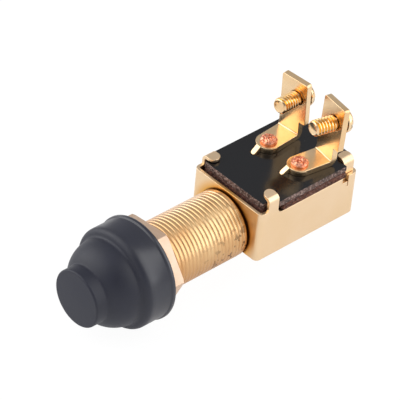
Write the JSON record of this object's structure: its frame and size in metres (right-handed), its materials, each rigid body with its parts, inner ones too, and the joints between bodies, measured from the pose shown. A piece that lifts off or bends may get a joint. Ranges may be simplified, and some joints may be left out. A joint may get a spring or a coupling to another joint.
{
  "type": "pushbutton starter switch",
  "caption": "Momentary push switch with a rubber boot on a threaded brass panel stem, and a folded brass box whose board carries upright screw terminals.",
  "frame": {"origin": "on the stem's axis in the boot nut's rear face, where the panel sits", "axes": "+Y along the stem from the button to the box, +Z towards the terminals, +X to the right seen from the button"},
  "size_m": [0.0244, 0.0727, 0.0383],
  "materials": {
    "box_brass": "satin folded sheet",
    "turned_brass": "turned, lightly tarnished",
    "terminal_brass": "bright stamped sheet",
    "screw_brass": "bright",
    "copper": "copper, crushed",
    "boot_rubber": "satin",
    "black_laminate": "glossy laminate",
    "red_fibre": "vulcanised fibre",
    "moulded_plastic": "moulded phenolic",
    "steel": "plain"
  },
  "bodies": {
    "switch_body": {"housing": "box_brass", "threaded_stem": "turned_brass", "boot_nut": "turned_brass", "terminal_board": "black_laminate", "insulating_sheet": "red_fibre", "left_terminal": "terminal_brass", "right_terminal": "terminal_brass", "left_rivet": "copper", "right_rivet": "copper", "left_fixed_contact": "copper", "right_fixed_contact": "copper", "return_spring": "steel"},
    "plunger": {"rubber_boot": "boot_rubber", "push_button": "moulded_plastic", "plunger_rod": "steel", "insulating_bush": "moulded_plastic", "bridge_contact": "copper", "fibre_washer": "red_fibre", "retaining_ring": "steel"},
    "left_screw": {"left_terminal_screw": "screw_brass"},
    "right_screw": {"right_terminal_screw": "screw_brass"}
  },
  "joints": [
    {"name": "button_press", "type": "slide", "parent": "switch_body", "child": "plunger", "axis": [0, 1, 0], "range_m": [0, 0.004], "stiffness_N_per_m": 1500, "springref_m": -0.004, "deforming": ["return_spring", "rubber_boot"]},
    {"name": "left_screw_turn", "type": "hinge", "parent": "switch_body", "child": "left_screw", "pos_m": [-0.00361, 0.04156, 0.02157], "axis": [0.0798, -0.9924, 0.0941], "continuous": true},
    {"name": "right_screw_turn", "type": "hinge", "parent": "switch_body", "child": "right_screw", "pos_m": [0.0071, 0.0421, 0.02153], "axis": [-0.1387, -0.9868, 0.0837], "continuous": true}
  ]
}
